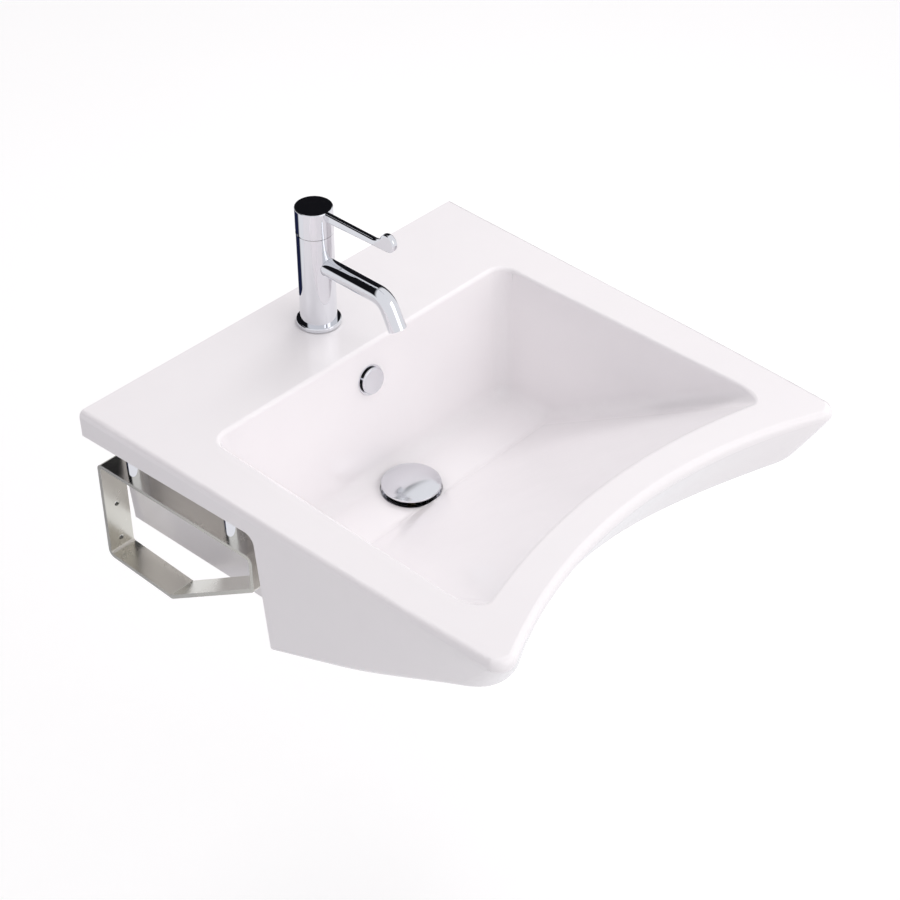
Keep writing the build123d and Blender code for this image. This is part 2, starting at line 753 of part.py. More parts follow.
def make_lever():
    """The lever: a hollow hub with a rear relief, a flat arm and a round paddle; and its screw."""
    base = tap_top + hub_gap
    hub = rod(hub_r, hub_top - base)
    hub = fillet(hub.edges().sort_by(Axis.Z)[-1], hub_round)
    hub = hub - Pos(0, 0, -overlap) * rod(hub_r - hub_wall, hub_top - hub_crown - base + overlap)
    boss = rod(hub_boss_r, hub_boss_drop + overlap)
    hub = hub + Pos(0, 0, hub_top - hub_crown - hub_boss_drop - base) * boss
    hub = put(hub, 0, tap_out, base)
    lean = radians(lift_angle)
    clear = base - pivot_up
    relief = Plane(
        origin=spot(0, tap_out, -pivot_up) + Vector(0, sin(lean), cos(lean)) * (clear - seat_gap),
        x_dir=(1, 0, 0),
        z_dir=(0, -sin(lean), cos(lean)),
    )
    cutter = Pos(0, 0, -hub_r) * Box(4 * hub_r, 4 * hub_r, 2 * hub_r)
    hub = hub - relief.location * cutter
    low = -(hub_top - arm_height)
    high = -hub_top
    points = [
        (tap_out, high),
        (paddle_out, high),
        (paddle_out, low - arm_end_rise),
        (tap_out, low),
    ]
    arm = make_face(Plane.YZ * Polyline(*[Vector(-out, rim_z - down) for out, down in points], close=True))
    centre = spot(0, paddle_out, high - paddle_lift)
    disc = Plane(origin=centre, x_dir=(0, 1, 0), z_dir=(1, 0, 0)) * Circle(paddle_r)
    side = arm + disc
    meet = centre + Vector(0, (paddle_r**2 - paddle_lift**2) ** 0.5, -paddle_lift)
    side = fillet(side.vertices().sort_by_distance(meet)[0], paddle_blend)
    arm = Pos(-arm_thickness / 2, 0, 0) * extrude(side, amount=arm_thickness, dir=(1, 0, 0))
    rims = [edge for edge in arm.edges() if edge.bounding_box().size.X < overlap]
    arm = fillet([edge for edge in rims if (edge @ 0.5).Y < -tap_out - overlap], lever_round)
    lever = hub + arm
    socket = bar(spindle_width + 2 * fit_gap, spindle_width + 2 * fit_gap, spindle_top - pivot_up)
    lever = lever - put(socket, 0, tap_out, pivot_up)
    screw = along_y(grub_r, spindle_width / 2, spindle_width / 2 + grub_length)
    lever = lever - put(along_y(grub_r + fit_gap, 0, 2 * hub_r), 0, tap_out, grub_height)
    return lever, put(screw, 0, tap_out, grub_height)


def make_tap_fixing():
    """The stud, the two horseshoe pieces and the nut that hold the tap under the ledge."""
    bottom = ledge_ceiling - stud_below
    stud = put(rod(stud_r, tap_base + stud_in_body - bottom), 0, tap_out - stud_back, bottom)
    pieces = [stud]
    for thickness, up in (
        (horseshoe_gasket_thickness, horseshoe_top),
        (horseshoe_washer_thickness, nut_top),
    ):
        plate = rod(horseshoe_r, thickness)
        slot = Box(horseshoe_slot, 2 * horseshoe_r, 3 * thickness)
        plate = plate - Pos(0, horseshoe_slot_end - horseshoe_r, 0) * slot
        plate = plate - Pos(0, stud_back, -overlap) * rod(stud_r + fit_gap, thickness + 2 * overlap)
        pieces.append(put(plate, 0, tap_out, up))
    nut = hexagon(fixing_nut_across_flats, fixing_nut_thickness)
    nut = nut - Pos(0, 0, -overlap) * rod(stud_r + fit_gap, 2 * fixing_nut_thickness)
    pieces.append(put(nut, 0, tap_out - stud_back, nut_top - fixing_nut_thickness))
    return pieces


def make_bracket():
    """The right bracket: a closed loop of flat bar with wall holes and screw holes."""
    points = [
        (0.0, bar_top_down),
        (bracket_out, bar_down(bracket_out)),
        (bracket_out, bracket_front_down),
        (bracket_bottom_out, bracket_depth),
        (0.0, bracket_depth),
    ]
    corners = [Vector(-out, rim_z - down) for out, down in points]
    face = make_face(Polyline(*corners, close=True))
    face = fillet(face.vertices(), bracket_round)
    loop = face - offset(face, amount=-strip_thickness)
    loop = extrude(Plane.YZ * loop, amount=strip_width, dir=(1, 0, 0))
    loop = Pos(bracket_middle - strip_width / 2, 0, 0) * loop
    for side in (-1, 1):
        hole = along_y(wall_hole_r, -2 * strip_thickness, strip_thickness)
        loop = loop - Pos(bracket_middle, 0, side * wall_hole_spacing / 2) * hole
    for out in post_outs:
        hole = rod(screw_r + fit_gap, 4 * strip_thickness)
        loop = loop - bar_place(out) * Pos(0, 0, -2 * strip_thickness) * hole
    return loop


def make_posts():
    """The posts on the right bracket, the soft pads on them and the screws through the bar."""
    posts = []
    pads = []
    screws = []
    for out in post_outs:
        top = ledge_place(out) * Pos(0, 0, -pad_thickness)
        foot = bar_place(out)
        post = top * Pos(0, 0, -bar_top_down) * rod(post_r, bar_top_down)
        post = post + top * rod(spigot_r, pad_thickness + spigot_length)
        post = post - foot * Pos(0, 0, -wide) * bar(wide, wide, wide)
        posts.append(post - foot * Pos(0, 0, -overlap) * rod(screw_r + fit_gap, screw_length))
        pads.append(top * collar(post_r, spigot_r + fit_gap, pad_thickness))
        head = Pos(0, 0, -screw_head_height) * rod(screw_head_r, screw_head_height)
        screws.append(foot * Pos(0, 0, -strip_thickness) * (rod(screw_r, screw_length) + head))
    return Compound(posts), Compound(pads), Compound(screws)


def main():
    """Build every piece and write one file for each."""
    pieces = {"basin_body": make_ceramic()}
    pieces["overflow_sleeve"], pieces["overflow_cover"] = make_overflow()
    waste_names = ("waste_body", "waste_top_gasket", "waste_lower_seal")
    waste_names = waste_names + ("waste_slip_washer", "waste_backnut", "plug_guide")
    pieces.update(zip(waste_names, make_waste()))
    pieces.update(zip(("plug_cap", "plug_stem", "plug_seal"), make_plug()))
    pieces.update(zip(("tap_base_gasket", "tap_base_flange"), make_tap_base()))
    pieces["tap_body"] = make_tap_body()
    pieces.update(zip(("tap_spout", "aerator_housing", "aerator_insert"), make_spout()))
    pieces.update(zip(("cartridge_seal", "cartridge", "cartridge_nut"), make_cartridge()))
    pieces.update(zip(("cartridge_swivel", "swivel_pin", "spindle"), make_swivel()))
    pieces["lever"], pieces["lever_grub_screw"] = make_lever()
    fixing_names = ("tap_stud", "horseshoe_gasket", "horseshoe_washer", "tap_fixing_nut")
    pieces.update(zip(fixing_names, make_tap_fixing()))
    pieces["bracket_left"], pieces["bracket_right"] = reversed(both_sides(make_bracket()))
    for name, group in zip(("bracket_posts", "post_pads", "post_screws"), make_posts()):
        right, left = both_sides(group)
        pieces[name + "_right"] = right
        pieces[name + "_left"] = left
    os.makedirs("parts", exist_ok=True)
    for name, shape in pieces.items():
        export_step(shape, "parts/" + name + ".step")


main()
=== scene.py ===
"""Finishes and fine pieces for a wall-hung washbasin with a lever tap and looped brackets.

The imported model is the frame. Metres, +Z up, the wall is the plane Y = 0 and the basin reaches
out along -Y. Run as a script, it dresses the frame piece by piece and sets the stage.
"""
from math import radians

import bpy
import numpy as np
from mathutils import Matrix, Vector


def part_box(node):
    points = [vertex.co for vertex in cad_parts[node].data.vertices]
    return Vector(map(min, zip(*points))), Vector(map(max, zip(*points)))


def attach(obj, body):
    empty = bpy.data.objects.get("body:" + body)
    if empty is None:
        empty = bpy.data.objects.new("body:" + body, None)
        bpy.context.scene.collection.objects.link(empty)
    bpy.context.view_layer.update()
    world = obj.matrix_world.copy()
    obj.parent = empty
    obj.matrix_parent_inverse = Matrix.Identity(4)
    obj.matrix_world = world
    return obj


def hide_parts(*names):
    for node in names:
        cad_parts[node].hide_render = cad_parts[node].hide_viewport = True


bl_info = {
    "name": "Wall-hung basin finishes",
    "version": (1, 0, 0),
    "blender": (4, 5, 0),
    "location": "View3D > Sidebar > Basin",
    "description": "Dresses the packed wall-hung basin with glaze, chrome, steel and fine pieces",
    "category": "Object",
}

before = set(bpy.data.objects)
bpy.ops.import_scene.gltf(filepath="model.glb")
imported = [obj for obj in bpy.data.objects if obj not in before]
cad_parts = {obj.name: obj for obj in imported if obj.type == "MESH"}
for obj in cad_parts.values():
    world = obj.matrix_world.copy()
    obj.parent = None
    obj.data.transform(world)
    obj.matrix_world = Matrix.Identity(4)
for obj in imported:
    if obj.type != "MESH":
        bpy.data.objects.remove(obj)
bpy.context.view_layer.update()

CERAMIC_NODES = ("basin_body",)
CHROME_NODES = (
    "tap_base_flange", "tap_body", "tap_spout", "aerator_housing", "lever",
    "bracket_posts_left", "bracket_posts_right",
)
SOFT_CHROME_NODES = ("overflow_sleeve", "overflow_cover", "plug_cap")
BRACKET_NODES = ("bracket_left", "bracket_right")
PLAIN_STEEL_NODES = (
    "post_screws_left", "post_screws_right", "tap_fixing_nut", "horseshoe_washer",
    "lever_grub_screw", "swivel_pin", "waste_slip_washer",
)
BRASS_NODES = ("waste_backnut", "plug_stem", "cartridge_nut", "cartridge_swivel", "spindle")
RUBBER_NODES = (
    "waste_top_gasket", "waste_lower_seal", "plug_seal", "tap_base_gasket", "cartridge_seal",
    "horseshoe_gasket", "post_pads_left", "post_pads_right",
)
PLASTIC_NODES = ("plug_guide", "aerator_insert", "cartridge")

# Every finish varies over soft patches. A scale says how often its noise repeats in a metre;
# where there are two, the first is for the broad noise and the second for the fine one.
FINE_NOISE_SHARE = 0.3
NOISE_RANGE = (0.4, 0.9)
METAL_FINE_TIMES = 9
GLAZE_SCALES = (3.0, 22.0)
GLAZE_WAVE_SCALES = (9.0, 90.0)
CHROME_SCALE = 5.0
SOFT_CHROME_SCALE = 12.0
BAR_SCALE = 14.0
BAR_LINE_SCALES = (2600.0, 30.0, 30.0)
THREAD_SCALE = 30.0
FIXING_SCALE = 60.0
SOFT_SCALE = 40.0
RUBBER_GRAIN = 700.0
PLASTIC_GRAIN = 500.0
FLOOR_SCALES = (2.0, 30.0)

# Share of the finish's own colour that the low patches have
METAL_SHADE = 0.93
SOFT_SHADE = 0.85
FLOOR_SHADE = 0.99

# Roughness in the low patches and in the high ones
GLAZE_ROUGHNESS = (0.22, 0.14)
CHROME_ROUGHNESS = (0.025, 0.07)
SOFT_CHROME_ROUGHNESS = (0.12, 0.18)
BAR_ROUGHNESS = (0.18, 0.30)
TAIL_ROUGHNESS = (0.08, 0.16)
STUD_ROUGHNESS = (0.30, 0.38)
STEEL_ROUGHNESS = (0.30, 0.45)
BRASS_ROUGHNESS = (0.25, 0.40)
RUBBER_ROUGHNESS = (0.55, 0.65)
PLASTIC_ROUGHNESS = (0.40, 0.50)
FLOOR_ROUGHNESS = 0.9
GLAZE_COAT = 0.35
GLAZE_COAT_ROUGHNESS = 0.05

# Bumps: their height in metres and their strength. A thread's height is a share of its pitch.
GLAZE_BUMP = (0.0004, 0.25)
BAR_BUMP = (0.00008, 0.35)
SOFT_BUMP = (0.0001, 0.3)
THREAD_HEIGHT = 0.9
THREAD_STRENGTH = 1.0

# Sockets of the Mix node when it mixes colours
MIX_MASK, MIX_LOW, MIX_HIGH = 0, 6, 7
MIX_COLOUR = 2

# Socket screws: shares of the head's radius, of the head's height and of the shank's radius
SOCKET_WIDTH = 0.42
HEAD_TOP_WIDTH = 0.72
HEAD_EDGE = 0.9
SOCKET_DEPTH = 0.65
HEAD_ROUND = 0.7
TIP_WIDTH = 0.8
TIP_LENGTH = 0.2

# Nuts: where their outer chamfer starts, as a share of the flats' distance from the middle, its
# angle, and the bore's chamfer as a share of the height
NUT_CHAMFER_START = 0.96
NUT_CHAMFER_ANGLE = radians(30)
NUT_BORE_CHAMFER = 0.06

# The outlet's grid: pitch, half the depth of its waves and drop of its edge, all in metres, and
# the shares of its radius between which it waves
GRID_PITCH = 0.0013
GRID_WAVE = 0.00025
GRID_EDGE_DROP = 0.0003
GRID_REACH = (0.02, 0.985)

# Edges of the new pieces that turn by more than this are sharp
SHARP_ANGLE = radians(32)

# The lamps: place, what they point at, width of the square in metres and power in watts
PART_MIDDLE = (0.0, -0.3, 0.1)
BOWL_FLOOR = (0.0, -0.28, 0.0)
LAMPS = {
    "key_lamp": ((1.5, 0.5, 1.9), PART_MIDDLE, 0.9, 11.0),
    "front_lamp": ((0.4, -2.4, 1.3), PART_MIDDLE, 1.6, 8.0),
    "bowl_lamp": ((0.1, -0.4, 1.5), BOWL_FLOOR, 0.5, 0.07),
}
BOWL_LAMP_SPREAD = radians(50)
FLOOR_GLOW = 0.22

# The room's fill light: where it is brightest, its colour opposite and there, and its strength
BRIGHT_SIDE = (0.62, -0.45, 0.64)
FILL_COLOURS = ((0.125, 0.12, 0.15), (0.895, 0.88, 0.88))
FILL_STRENGTH = 1.25

# The room as it shows in shiny pieces: a pale colour, a dark ceiling on the wall's side, and a
# dark corner, a dark doorway and a skylight laid over them. Each is given by a direction, the
# two cosines between which it fades in, and its colour.
ROOM_COLOUR = (0.9, 0.9, 0.93)
UP, CEILING_FADE = (0.0, 0.0, 1.0), (0.10, 0.22)
WALL_SIDE, WALL_SIDE_FADE = (0.0, 1.0, 0.0), (0.30, 0.45)
CEILING_COLOUR = (0.008, 0.008, 0.01)
ROOM_SPOTS = (
    ((-0.10, 0.77, -0.63), (0.90, 0.95), (0.012, 0.016, 0.05)),
    ((0.85, 0.53, -0.05), (0.86, 0.93), (0.01, 0.01, 0.014)),
    ((0.18, 0.53, 0.83), (0.985, 0.995), (0.85, 0.86, 0.9)),
)
WHITE = (1.0, 1.0, 1.0, 1.0)

# The camera as fitted to the photo: millimetres, metres and degrees
LENS = 80.0
SENSOR_WIDTH = 36.0
CLIP_END = 100.0
CAMERA_PLACE = (-1.3064, -1.4990, 1.5399)
CAMERA_DOWN, CAMERA_ROLL, CAMERA_TURN = 38.94, -0.03, -46.98


class BasinSizes(bpy.types.PropertyGroup):
    """Sizes of the fine pieces and of the stage."""

    thread_pitch: bpy.props.FloatProperty(
        name="Thread pitch", description="Distance between the waste tail's thread crests",
        default=0.0023, unit="LENGTH",
    )
    stud_pitch: bpy.props.FloatProperty(
        name="Stud pitch", description="Distance between the stud's thread crests",
        default=0.00125, unit="LENGTH",
    )
    floor_drop: bpy.props.FloatProperty(
        name="Floor drop", description="How far the floor lies under the wall fixings",
        default=0.62, unit="LENGTH",
    )
    floor_size: bpy.props.FloatProperty(
        name="Floor size", description="Width of the floor", default=40.0, unit="LENGTH",
    )


class BasinColours(bpy.types.PropertyGroup):
    """Colours and gloss of the finishes."""

    glaze: bpy.props.FloatVectorProperty(
        name="Glaze", description="Colour of the white glaze", subtype="COLOR",
        default=(0.95, 0.922, 0.936),
    )
    glaze_shade: bpy.props.FloatVectorProperty(
        name="Glaze shade", description="Colour where the glaze lies thicker", subtype="COLOR",
        default=(0.915, 0.888, 0.905),
    )
    chrome: bpy.props.FloatVectorProperty(
        name="Chrome", description="Colour of the chrome plating", subtype="COLOR",
        default=(0.80, 0.81, 0.84),
    )
    steel: bpy.props.FloatVectorProperty(
        name="Steel", description="Colour of the polished bracket bar", subtype="COLOR",
        default=(0.76, 0.745, 0.68),
    )
    plain_steel: bpy.props.FloatVectorProperty(
        name="Plain steel", description="Colour of screws, nuts and washers", subtype="COLOR",
        default=(0.42, 0.42, 0.42),
    )
    brass: bpy.props.FloatVectorProperty(
        name="Brass", description="Colour of the bare brass pieces", subtype="COLOR",
        default=(0.62, 0.47, 0.22),
    )
    rubber: bpy.props.FloatVectorProperty(
        name="Rubber", description="Colour of seals and pads", subtype="COLOR",
        default=(0.03, 0.03, 0.032),
    )
    plastic: bpy.props.FloatVectorProperty(
        name="Plastic", description="Colour of the moulded plastic pieces", subtype="COLOR",
        default=(0.72, 0.72, 0.70),
    )
    floor: bpy.props.FloatVectorProperty(
        name="Floor", description="Colour of the plain floor", subtype="COLOR",
        default=(0.84, 0.84, 0.84),
    )


def new_group(name, inputs, outputs):
    """An empty shader node group with named sockets, and its two end nodes."""
    group = bpy.data.node_groups.new(name, "ShaderNodeTree")
    for label, kind, value in inputs:
        socket = group.interface.new_socket(label, in_out="INPUT", socket_type=kind)
        if value is not None:
            socket.default_value = value
    for label, kind in outputs:
        group.interface.new_socket(label, in_out="OUTPUT", socket_type=kind)
    return group, group.nodes.new("NodeGroupInput"), group.nodes.new("NodeGroupOutput")


def add_node(tree, kind, links=(), **values):
    """A node with its settings and input values, and links into its inputs."""
    node = tree.nodes.new(kind)
    for key, value in values.items():
        if key.startswith("in_"):
            name = key[3:].replace("_", " ")
            node.inputs[name].default_value = value
        else:
            setattr(node, key, value)
    for source, target in links:
        tree.links.new(source, node.inputs[target])
    return node


def stretch(tree, value, start, end):
    """A number's part from start to end, spread over 0 to 1."""
    node = add_node(tree, "ShaderNodeMapRange", links=[(value, "Value")])
    node.inputs["From Min"].default_value = start
    node.inputs["From Max"].default_value = end
    return node.outputs["Result"]


def patch_group():
    """Broad soft patches: two noises of different scale, added, as a mask from 0 to 1."""
    group, start, end = new_group(
        "soft_patches",
        [("Vector", "NodeSocketVector", None), ("Scale", "NodeSocketFloat", 8.0),
         ("Detail scale", "NodeSocketFloat", 60.0)],
        [("Mask", "NodeSocketFloat")],
    )
    broad = add_node(group, "ShaderNodeTexNoise", in_Detail=3.0, links=[
        (start.outputs["Vector"], "Vector"), (start.outputs["Scale"], "Scale")])
    fine = add_node(group, "ShaderNodeTexNoise", in_Detail=4.0, links=[
        (start.outputs["Vector"], "Vector"), (start.outputs["Detail scale"], "Scale")])
    both = add_node(group, "ShaderNodeMath", operation="MULTIPLY_ADD", links=[
        (fine.outputs["Fac"], 0), (broad.outputs["Fac"], 2)])
    both.inputs[1].default_value = FINE_NOISE_SHARE
    group.links.new(stretch(group, both.outputs[0], *NOISE_RANGE), end.inputs["Mask"])
    return group


def brush_group():
    """Fine lines: noise on coordinates whose scale is far higher across the lines than along."""
    group, start, end = new_group(
        "brush_lines",
        [("Vector", "NodeSocketVector", None), ("Stretch", "NodeSocketVector", (1.0, 1.0, 1.0))],
        [("Height", "NodeSocketFloat")],
    )
    stretched = add_node(group, "ShaderNodeVectorMath", operation="MULTIPLY")
    group.links.new(start.outputs["Vector"], stretched.inputs[0])
    group.links.new(start.outputs["Stretch"], stretched.inputs[1])
    lines = add_node(group, "ShaderNodeTexNoise", in_Scale=1.0, in_Detail=5.0, links=[
        (stretched.outputs[0], "Vector")])
    group.links.new(lines.outputs["Fac"], end.inputs["Height"])
    return group


def thread_group():
    """Screw thread below a height: a triangle wave of height over pitch, shifted by the turn."""
    group, start, end = new_group(
        "screw_thread",
        [("Vector", "NodeSocketVector", None), ("Centre", "NodeSocketVector", (0.0, 0.0, 0.0)),
         ("Pitch", "NodeSocketFloat", 0.002), ("Top", "NodeSocketFloat", 0.0)],
        [("Height", "NodeSocketFloat"), ("Mask", "NodeSocketFloat")],
    )
    local = add_node(group, "ShaderNodeVectorMath", operation="SUBTRACT")
    group.links.new(start.outputs["Vector"], local.inputs[0])
    group.links.new(start.outputs["Centre"], local.inputs[1])
    parts = add_node(group, "ShaderNodeSeparateXYZ", links=[(local.outputs[0], 0)])
    turn = add_node(group, "ShaderNodeMath", operation="ARCTAN2", links=[
        (parts.outputs["Y"], 0), (parts.outputs["X"], 1)])
    turns = add_node(group, "ShaderNodeMath", operation="DIVIDE", links=[(turn.outputs[0], 0)])
    turns.inputs[1].default_value = 2 * np.pi
    steps = add_node(group, "ShaderNodeMath", operation="DIVIDE", links=[
        (parts.outputs["Z"], 0), (start.outputs["Pitch"], 1)])
    phase = add_node(group, "ShaderNodeMath", operation="ADD", links=[
        (turns.outputs[0], 0), (steps.outputs[0], 1)])
    wave = add_node(group, "ShaderNodeMath", operation="PINGPONG", links=[(phase.outputs[0], 0)])
    wave.inputs[1].default_value = 0.5
    below = add_node(group, "ShaderNodeMath", operation="LESS_THAN", links=[
        (parts.outputs["Z"], 0), (start.outputs["Top"], 1)])
    masked = add_node(group, "ShaderNodeMath", operation="MULTIPLY", links=[
        (wave.outputs[0], 0), (below.outputs[0], 1)])
    group.links.new(masked.outputs[0], end.inputs["Height"])
    group.links.new(below.outputs[0], end.inputs["Mask"])
    return group


def shared(name, build):
    """The node group of that name, built the first time it is asked for."""
    return bpy.data.node_groups.get(name) or build()


def new_material(name, **values):
    """A material with one shader; returns it, its tree, its shader and the place on the object."""
    material = bpy.data.materials.new(name)
    material.use_nodes = True
    tree = material.node_tree
    shader = tree.nodes["Principled BSDF"]
    for label, value in values.items():
        shader.inputs[label.replace("_", " ")].default_value = value
    place = add_node(tree, "ShaderNodeTexCoord").outputs["Object"]
    return material, tree, shader, place


def patches_on(tree, place, scale, detail):
    """A patch mask placed in a material."""
    node = add_node(tree, "ShaderNodeGroup", node_tree=shared("soft_patches", patch_group))
    node.inputs["Scale"].default_value = scale
    node.inputs["Detail scale"].default_value = detail
    tree.links.new(place, node.inputs["Vector"])
    return node.outputs["Mask"]


def blend_colours(tree, mask, low, high):
    """A colour that goes from low to high with a mask."""
    mix = add_node(tree, "ShaderNodeMix", data_type="RGBA", links=[(mask, MIX_MASK)])
    mix.inputs[MIX_LOW].default_value = (*low, 1.0)
    mix.inputs[MIX_HIGH].default_value = (*high, 1.0)
    return mix.outputs[MIX_COLOUR]


def blend_over(tree, mask, under, colour):
    """A colour laid over another node's colour by a mask."""
    mix = add_node(tree, "ShaderNodeMix", data_type="RGBA", links=[
        (mask, MIX_MASK), (under, MIX_LOW)])
    mix.inputs[MIX_HIGH].default_value = (*colour, 1.0)
    return mix.outputs[MIX_COLOUR]


def shaded(colour, share):
    """A share of a colour."""
    return tuple(share * part for part in colour)


def span(tree, mask, low, high):
    """A number that goes from low to high with a mask."""
    node = add_node(tree, "ShaderNodeMapRange", links=[(mask, "Value")])
    node.inputs["To Min"].default_value = low
    node.inputs["To Max"].default_value = high
    return node.outputs["Result"]


def raise_by(tree, shader, height, distance, strength):
    """A bump of that height under a shader."""
    bump = add_node(tree, "ShaderNodeBump", links=[(height, "Height")])
    bump.inputs["Distance"].default_value = distance
    bump.inputs["Strength"].default_value = strength
    tree.links.new(bump.outputs["Normal"], shader.inputs["Normal"])


def glaze_finish(colours):
    """Fired white glaze: soft thick and thin patches, a faint wave and a hard gloss."""
    material, tree, shader, place = new_material(
        "white_glaze", Coat_Weight=GLAZE_COAT, Coat_Roughness=GLAZE_COAT_ROUGHNESS)
    mask = patches_on(tree, place, *GLAZE_SCALES)
    colour = blend_colours(tree, mask, colours.glaze_shade, colours.glaze)
    tree.links.new(colour, shader.inputs["Base Color"])
    tree.links.new(span(tree, mask, *GLAZE_ROUGHNESS), shader.inputs["Roughness"])
    raise_by(tree, shader, patches_on(tree, place, *GLAZE_WAVE_SCALES), *GLAZE_BUMP)
    return material


def metal_finish(name, colour, roughness, scale):
    """Plated or bare metal, whose tone and gloss vary softly over the same patches."""
    material, tree, shader, place = new_material(name, Metallic=1.0)
    mask = patches_on(tree, place, scale, METAL_FINE_TIMES * scale)
    tone = blend_colours(tree, mask, shaded(colour, METAL_SHADE), colour)
    tree.links.new(tone, shader.inputs["Base Color"])
    tree.links.new(span(tree, mask, *roughness), shader.inputs["Roughness"])
    return material, tree, shader, place


def bracket_finish(colours):
    """Polished flat bar: metal with fine lines along its run."""
    material, tree, shader, place = metal_finish(
        "polished_bar", colours.steel, BAR_ROUGHNESS, BAR_SCALE)
    lines = add_node(tree, "ShaderNodeGroup", node_tree=shared("brush_lines", brush_group))
    lines.inputs["Stretch"].default_value = BAR_LINE_SCALES
    tree.links.new(place, lines.inputs["Vector"])
    raise_by(tree, shader, lines.outputs["Height"], *BAR_BUMP)
    return material


def threaded_finish(name, colour, centre, pitch, top, roughness):
    """Metal with a screw thread around an upright axis, below a height."""
    material, tree, shader, place = metal_finish(name, colour, roughness, THREAD_SCALE)
    thread = add_node(tree, "ShaderNodeGroup", node_tree=shared("screw_thread", thread_group))
    thread.inputs["Centre"].default_value = centre
    thread.inputs["Pitch"].default_value = pitch
    thread.inputs["Top"].default_value = top
    tree.links.new(place, thread.inputs["Vector"])
    raise_by(tree, shader, thread.outputs["Height"], THREAD_HEIGHT * pitch, THREAD_STRENGTH)
    return material


def soft_finish(name, colour, roughness, grain):
    """Rubber or moulded plastic: one colour with faint patches and a fine grain."""
    material, tree, shader, place = new_material(name)
    mask = patches_on(tree, place, SOFT_SCALE, grain)
    tone = blend_colours(tree, mask, shaded(colour, SOFT_SHADE), colour)
    tree.links.new(tone, shader.inputs["Base Color"])
    tree.links.new(span(tree, mask, *roughness), shader.inputs["Roughness"])
    raise_by(tree, shader, patches_on(tree, place, grain, 3 * grain), *SOFT_BUMP)
    return material


def node_points(name):
    """The different corners of a CAD node's mesh, one row each."""
    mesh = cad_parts[name].data
    flat = np.empty(3 * len(mesh.vertices))
    mesh.vertices.foreach_get("co", flat)
    return np.unique(flat.reshape(-1, 3).round(6), axis=0)


def split_along_y(points):
    """The corners of two solids that stand one behind the other, as two arrays."""
    ordered = points[np.argsort(points[:, 1])]
    cut = np.argmax(np.diff(ordered[:, 1])) + 1
    return ordered[:cut], ordered[cut:]


def main_axis(points, rank):
    """Middle and direction of a turned solid, from how its corners spread: rank 2 is the widest."""
    middle = points.mean(axis=0)
    spread = np.linalg.eigh(np.cov((points - middle).T))[1]
    return middle, spread[:, rank]


def along_axis(points, middle, axis):
    """How far points lie along an axis, and how far away from it."""
    along = (points - middle) @ axis
    return along, np.linalg.norm(points - middle - along[:, None] * axis, axis=1)


def full_turn(segments):
    """Evenly spaced angles around a circle."""
    return np.linspace(0.0, 2 * np.pi, segments, endpoint=False)


def turned(radius, turn, height):
    """Rows of points around an axis: (r cos t, r sin t, height)."""
    return np.stack((radius * np.cos(turn), radius * np.sin(turn), height), axis=-1)


def place_rows(rows, origin, axis):
    """Rows of (x, y, height) points, turned so that their height runs along an axis."""
    side = np.cross(axis, (0.0, 1.0, 0.0))
    side /= np.linalg.norm(side)
    return origin + rows @ np.array((side, np.cross(axis, side), axis))


def hexagon(turn, apothem):
    """How far a hexagon's side is from its middle: apothem / cos(turn from the side's middle)."""
    return apothem / np.cos(np.mod(turn, np.pi / 3) - np.pi / 6)


def grid_faces(rows, columns, first, closed):
    """Four-cornered faces between the rows of a grid that goes round its columns.

    A closed grid has faces from its last row back to its first, too.
    """
    row = np.arange(rows if closed else rows - 1)[:, None]
    column = np.arange(columns)[None, :]
    beside = (column + 1) % columns
    above = (row + 1) % rows
    corners = (
        row * columns + column, row * columns + beside,
        above * columns + beside, above * columns + column,
    )
    return first + np.stack(np.broadcast_arrays(*corners), axis=-1).reshape(-1, 4)


def add_piece(name, grids, closed, material, body, node):
    """A piece made of grids of points, (rows, columns, 3) each, that replaces a CAD node."""
    first = 0
    faces = []
    for grid in grids:
        rows, columns = grid.shape[:2]
        faces += grid_faces(rows, columns, first, closed).tolist()
        if not closed:
            faces.append(list(range(first + columns - 1, first - 1, -1)))
            faces.append(list(range(first + (rows - 1) * columns, first + rows * columns)))
        first += rows * columns
    mesh = bpy.data.meshes.new(name)
    mesh.from_pydata(np.concatenate([grid.reshape(-1, 3) for grid in grids]), [], faces)
    mesh.polygons.foreach_set("use_smooth", np.ones(len(mesh.polygons), dtype=bool))
    mesh.set_sharp_from_angle(angle=SHARP_ANGLE)
    mesh.materials.append(material)
    piece = bpy.data.objects.new(name, mesh)
    bpy.context.scene.collection.objects.link(piece)
    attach(piece, body)
    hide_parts(node)


def screw_grid(points, segments=48):
    """A pan-head screw with a six-sided socket, along the solid's own axis, head end low.

    The head's rim is a quarter turn q: radius r1 + (r2 - r1) sin q, height h (1 - cos q).
    """
    middle, axis = main_axis(points, 2)
    axis = axis * np.sign(axis[2])
    along, away = along_axis(points, middle, axis)
    head = away.max()
    shank = away[along > along.mean()].min()
    length = along.max() - along.min()
    head_height = along[away > HEAD_EDGE * head].max() - along.min()
    socket = SOCKET_WIDTH * head
    inner = HEAD_TOP_WIDTH * head
    quarter = np.linspace(0.0, np.pi / 2, 7)
    radii = np.concatenate((
        [socket, socket], inner + (head - inner) * np.sin(quarter),
        [head, shank, shank, TIP_WIDTH * shank]))
    heights = np.concatenate((
        [SOCKET_DEPTH * head_height, 0.0], HEAD_ROUND * head_height * (1 - np.cos(quarter)),
        [head_height, head_height, length - TIP_LENGTH * shank, length]))
    turn = full_turn(segments)
    radius = np.repeat(radii[:, None], segments, axis=1)
    radius[:2] = hexagon(turn, socket)
    height = np.repeat(heights[:, None], segments, axis=1)
    return place_rows(turned(radius, turn, height), middle + along.min() * axis, axis)


